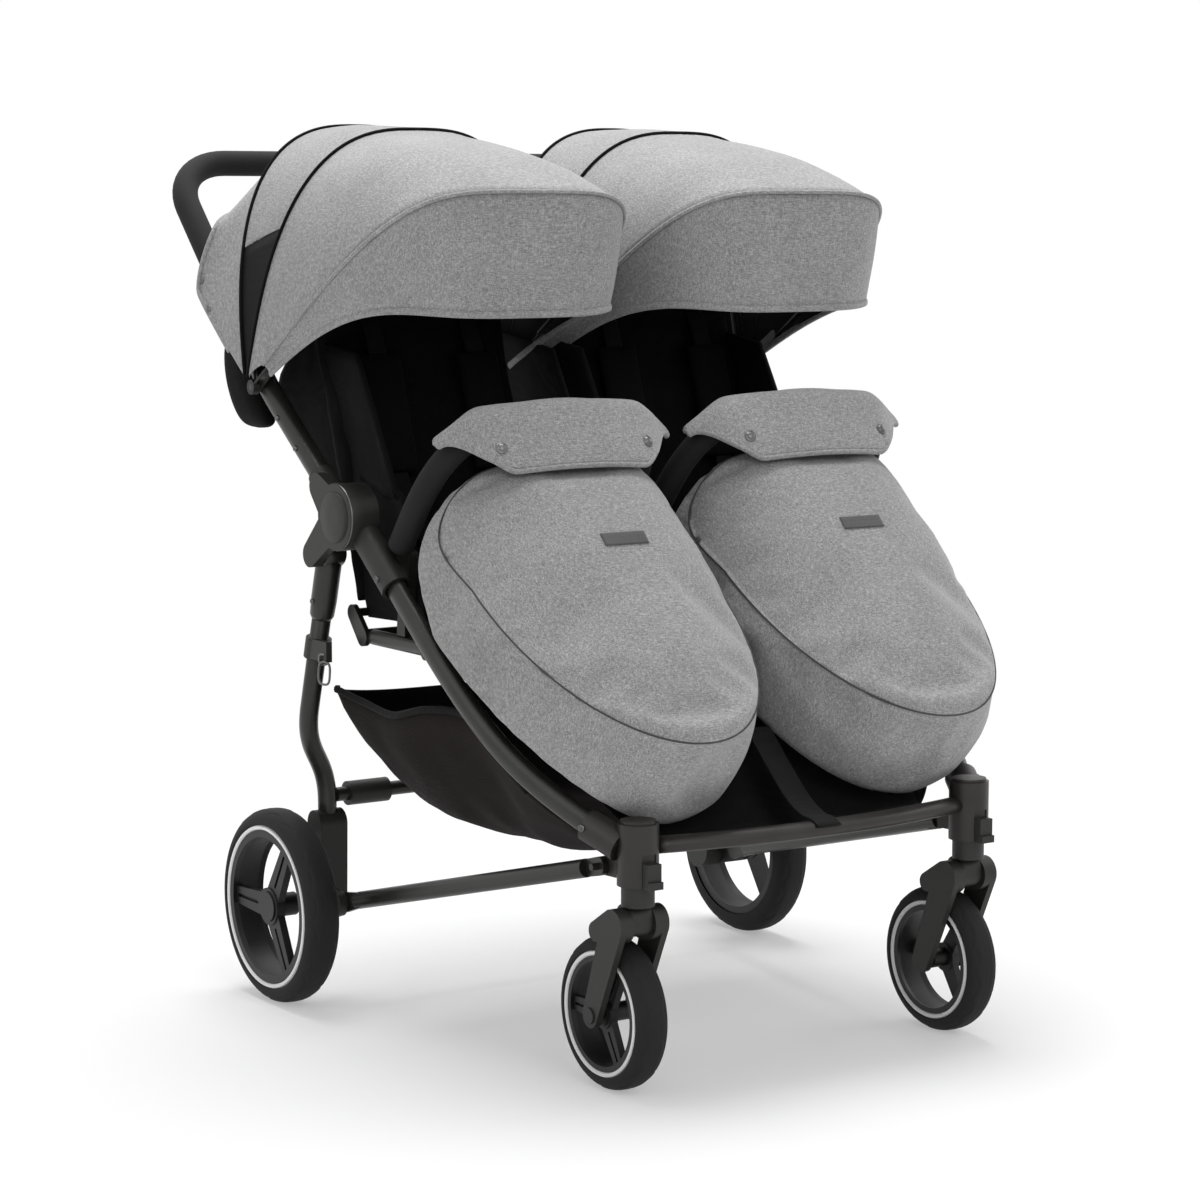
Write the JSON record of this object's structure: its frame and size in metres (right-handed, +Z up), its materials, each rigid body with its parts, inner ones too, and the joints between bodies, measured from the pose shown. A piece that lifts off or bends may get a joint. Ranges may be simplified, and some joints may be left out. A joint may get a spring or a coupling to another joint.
{
  "type": "side by side double stroller",
  "caption": "Side by side double stroller with folding frame, sprung swivel casters, reclining seats, tilting canopies, footmuffs over the bumper bars and a sling basket.",
  "frame": {"origin": "middle of the bounding box at floor level", "axes": "+Z up, the seats face -Y, +X to the right seen from the front"},
  "size_m": [0.7444, 0.941, 1.0613],
  "materials": {
    "frame_paint": "satin charcoal",
    "hub_plastic": "fine grained",
    "bow_wire": "black",
    "foam": "closed cell foam",
    "grey_fabric": "woven melange",
    "black_fabric": "woven",
    "basket_fabric": "woven",
    "tyre": "matte",
    "rim_plastic": "matte",
    "white_ring": "satin white"
  },
  "bodies": {
    "front_frame": {"front_leg_left": "frame_paint", "front_leg_right": "frame_paint", "hub_shell_left": "hub_plastic", "hub_shell_right": "hub_plastic", "front_cross_tube": "frame_paint", "front_housing_left": "hub_plastic", "front_housing_right": "hub_plastic", "seat_frame": "frame_paint", "seat_pad_left": "black_fabric", "seat_pad_right": "black_fabric", "bumper_bar_left": "foam", "bumper_bar_right": "foam", "bumper_sockets": "hub_plastic", "footmuff_left": "grey_fabric", "footmuff_right": "grey_fabric", "calf_panel": "black_fabric", "basket": "basket_fabric"},
    "handle_frame": {"handle_tube": "frame_paint", "handle_grip": "foam", "hub_cap_left": "hub_plastic", "hub_cap_right": "hub_plastic", "centre_strut": "frame_paint", "rear_bows": "bow_wire", "canopy_rear_left": "grey_fabric", "canopy_rear_right": "grey_fabric"},
    "rear_frame": {"rear_leg_left": "frame_paint", "rear_leg_right": "frame_paint", "rear_cross_tube": "frame_paint", "rear_feet": "hub_plastic", "leg_brackets": "hub_plastic"},
    "brake": {"brake_pedal": "hub_plastic"},
    "lower_links": {"link_tubes": "frame_paint"},
    "canopy_mount_left": {"canopy_mount_left": "frame_paint"},
    "canopy_left": {"front_bow_left": "bow_wire", "canopy_hood_left": "grey_fabric"},
    "back_left": {"back_rod_left": "frame_paint", "backrest_left": "black_fabric"},
    "rear_wheel_left": {"rear_tyre_left": "tyre", "rear_rim_left": "rim_plastic", "rear_ring_left": "white_ring"},
    "caster_left": {"caster_head_left": "hub_plastic"},
    "lock_left": {"swivel_lock_left": "hub_plastic"},
    "fork_arm_left": {"fork_left": "hub_plastic"},
    "front_wheel_left": {"front_tyre_left": "tyre", "front_rim_left": "rim_plastic", "front_ring_left": "white_ring"},
    "canopy_mount_right": {"canopy_mount_right": "frame_paint"},
    "canopy_right": {"front_bow_right": "bow_wire", "canopy_hood_right": "grey_fabric"},
    "back_right": {"back_rod_right": "frame_paint", "backrest_right": "black_fabric"},
    "rear_wheel_right": {"rear_tyre_right": "tyre", "rear_rim_right": "rim_plastic", "rear_ring_right": "white_ring"},
    "caster_right": {"caster_head_right": "hub_plastic"},
    "lock_right": {"swivel_lock_right": "hub_plastic"},
    "fork_arm_right": {"fork_right": "hub_plastic"},
    "front_wheel_right": {"front_tyre_right": "tyre", "front_rim_right": "rim_plastic", "front_ring_right": "white_ring"}
  },
  "joints": [
    {"name": "fold", "type": "hinge", "parent": "front_frame", "child": "handle_frame", "pos_m": [0, 0.00496, 0.606], "axis": [1, 0, 0], "range_deg": [0, 105]},
    {"name": "rear_fold", "type": "hinge", "parent": "handle_frame", "child": "rear_frame", "pos_m": [0, 0.06696, 0.557], "axis": [1, 0, 0], "range_deg": [-99, 0]},
    {"name": "link_fold", "type": "hinge", "parent": "front_frame", "child": "lower_links", "pos_m": [0, -0.38304, 0.25], "axis": [1, 0, 0], "range_deg": [0, 15], "deforming": ["basket"]},
    {"name": "brake", "type": "hinge", "parent": "rear_frame", "child": "brake", "pos_m": [-0.2338, 0.15676, 0.24885], "axis": [1, 0, 0], "range_deg": [-20, 0]},
    {"name": "canopy_left", "type": "hinge", "parent": "handle_frame", "child": "canopy_mount_left", "pos_m": [-0.19, 0.19473, 0.74797], "axis": [1, 0, 0], "range_deg": [-28, 0], "deforming": ["canopy_hood_left"]},
    {"name": "canopy_tilt_left", "type": "hinge", "parent": "canopy_mount_left", "child": "canopy_left", "pos_m": [-0.19, 0.19473, 0.74797], "axis": [1, 0, 0], "range_deg": [-32.1, 0]},
    {"name": "recline_left", "type": "hinge", "parent": "front_frame", "child": "back_left", "pos_m": [-0.171, 0.04096, 0.488], "axis": [1, 0, 0], "range_deg": [-35, 0]},
    {"name": "caster_left", "type": "hinge", "parent": "front_frame", "child": "caster_left", "pos_m": [-0.232, -0.43204, 0.236], "axis": [0, 0, 1], "continuous": true},
    {"name": "suspension_left", "type": "hinge", "parent": "caster_left", "child": "fork_arm_left", "pos_m": [-0.232, -0.42744, 0.19216], "axis": [1, 0, 0], "range_deg": [0, 8], "stiffness_Nm_per_rad": 60, "springref_deg": -5.73},
    {"name": "front_spin_left", "type": "hinge", "parent": "fork_arm_left", "child": "front_wheel_left", "pos_m": [-0.232, -0.38504, 0.0855], "axis": [1, 0, 0], "continuous": true},
    {"name": "rear_spin_left", "type": "hinge", "parent": "rear_frame", "child": "rear_wheel_left", "pos_m": [-0.35, 0.16596, 0.1185], "axis": [1, 0, 0], "continuous": true},
    {"name": "lock_left", "type": "slide", "parent": "front_frame", "child": "lock_left", "axis": [0, 0, 1], "range_m": [0, 0.008]},
    {"name": "canopy_right", "type": "hinge", "parent": "handle_frame", "child": "canopy_mount_right", "pos_m": [0.19, 0.19473, 0.74797], "axis": [1, 0, 0], "range_deg": [-28, 0], "deforming": ["canopy_hood_right"]},
    {"name": "canopy_tilt_right", "type": "hinge", "parent": "canopy_mount_right", "child": "canopy_right", "pos_m": [0.19, 0.19473, 0.74797], "axis": [1, 0, 0], "range_deg": [-32.1, 0]},
    {"name": "recline_right", "type": "hinge", "parent": "front_frame", "child": "back_right", "pos_m": [0.171, 0.04096, 0.488], "axis": [1, 0, 0], "range_deg": [-35, 0]},
    {"name": "caster_right", "type": "hinge", "parent": "front_frame", "child": "caster_right", "pos_m": [0.232, -0.43204, 0.236], "axis": [0, 0, 1], "continuous": true},
    {"name": "suspension_right", "type": "hinge", "parent": "caster_right", "child": "fork_arm_right", "pos_m": [0.232, -0.42744, 0.19216], "axis": [1, 0, 0], "range_deg": [0, 8], "stiffness_Nm_per_rad": 60, "springref_deg": -5.73},
    {"name": "front_spin_right", "type": "hinge", "parent": "fork_arm_right", "child": "front_wheel_right", "pos_m": [0.232, -0.38504, 0.0855], "axis": [1, 0, 0], "continuous": true},
    {"name": "rear_spin_right", "type": "hinge", "parent": "rear_frame", "child": "rear_wheel_right", "pos_m": [0.35, 0.16596, 0.1185], "axis": [1, 0, 0], "continuous": true},
    {"name": "lock_right", "type": "slide", "parent": "front_frame", "child": "lock_right", "axis": [0, 0, 1], "range_m": [0, 0.008]}
  ],
  "couplings": [
    {"joint": "rear_fold", "follows": "fold", "ratio": -0.94105},
    {"joint": "link_fold", "follows": "fold", "ratio": 0.13965},
    {"joint": "canopy_tilt_left", "follows": "fold", "ratio": -0.30476},
    {"joint": "canopy_tilt_right", "follows": "fold", "ratio": -0.30476}
  ]
}
